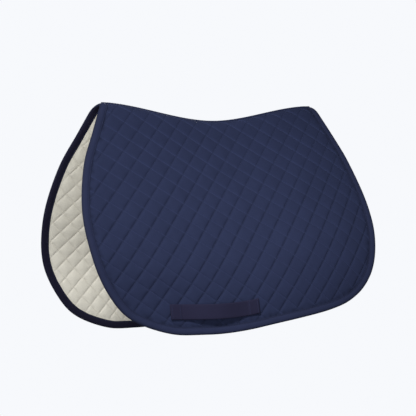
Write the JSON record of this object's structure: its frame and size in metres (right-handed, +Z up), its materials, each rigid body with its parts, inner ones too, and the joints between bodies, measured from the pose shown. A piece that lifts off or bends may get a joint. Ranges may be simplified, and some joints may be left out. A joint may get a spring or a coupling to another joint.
{
  "type": "saddle pad",
  "caption": "Contoured quilted saddle pad with bound edges, a padded flap down each side of a curved spine seam and a webbing girth strap low on each flap.",
  "frame": {"origin": "under the lining at the lowest point of the spine, where the pad lies on the horse's back", "axes": "+X along the spine to the rear, -Y to the near (left) flap, +Z up"},
  "size_m": [0.6562, 0.4268, 0.4946],
  "materials": {
    "navy_cotton": "quilted navy cotton twill, matt",
    "wadding": "soft white polyester wadding",
    "cream_cotton": "quilted cream cotton lining, matt",
    "cream_tape": "woven cotton tape, matt",
    "navy_binding": "folded navy cotton binding tape, slight sheen",
    "navy_thread": "twisted polyester sewing thread",
    "navy_webbing": "ribbed dark webbing"
  },
  "bodies": {
    "spine": {"spine_seam": "navy_cotton", "spine_tape": "cream_tape", "spine_stitching": "navy_thread", "front_spine_binding": "navy_binding", "rear_spine_binding": "navy_binding"},
    "near_flap": {"near_outer_cover": "navy_cotton", "near_padding": "wadding", "near_lining": "cream_cotton", "near_edge_binding": "navy_binding", "near_binding_stitching": "navy_thread", "near_quilting_thread": "navy_thread", "near_strap_front_end": "navy_webbing", "near_strap_rear_end": "navy_webbing", "near_strap_stitching": "navy_thread"},
    "near_loop": {"near_girth_loop": "navy_webbing"},
    "off_flap": {"off_outer_cover": "navy_cotton", "off_padding": "wadding", "off_lining": "cream_cotton", "off_edge_binding": "navy_binding", "off_binding_stitching": "navy_thread", "off_quilting_thread": "navy_thread", "off_strap_front_end": "navy_webbing", "off_strap_rear_end": "navy_webbing", "off_strap_stitching": "navy_thread"},
    "off_loop": {"off_girth_loop": "navy_webbing"}
  },
  "joints": [
    {"name": "near_flap_fold", "type": "hinge", "parent": "spine", "child": "near_flap", "pos_m": [0, 0, 0.0353], "axis": [-0.9996, 0, -0.0271], "range_deg": [-5, 40]},
    {"name": "off_flap_fold", "type": "hinge", "parent": "spine", "child": "off_flap", "pos_m": [0, 0, 0.0353], "axis": [0.9996, 0, 0.0271], "range_deg": [-5, 40]},
    {"name": "near_loop_lift", "type": "slide", "parent": "near_flap", "child": "near_loop", "axis": [-0.1977, -0.9799, 0.0259], "range_m": [0, 0.02]},
    {"name": "off_loop_lift", "type": "slide", "parent": "off_flap", "child": "off_loop", "axis": [-0.1977, 0.9799, 0.0259], "range_m": [0, 0.02]}
  ]
}
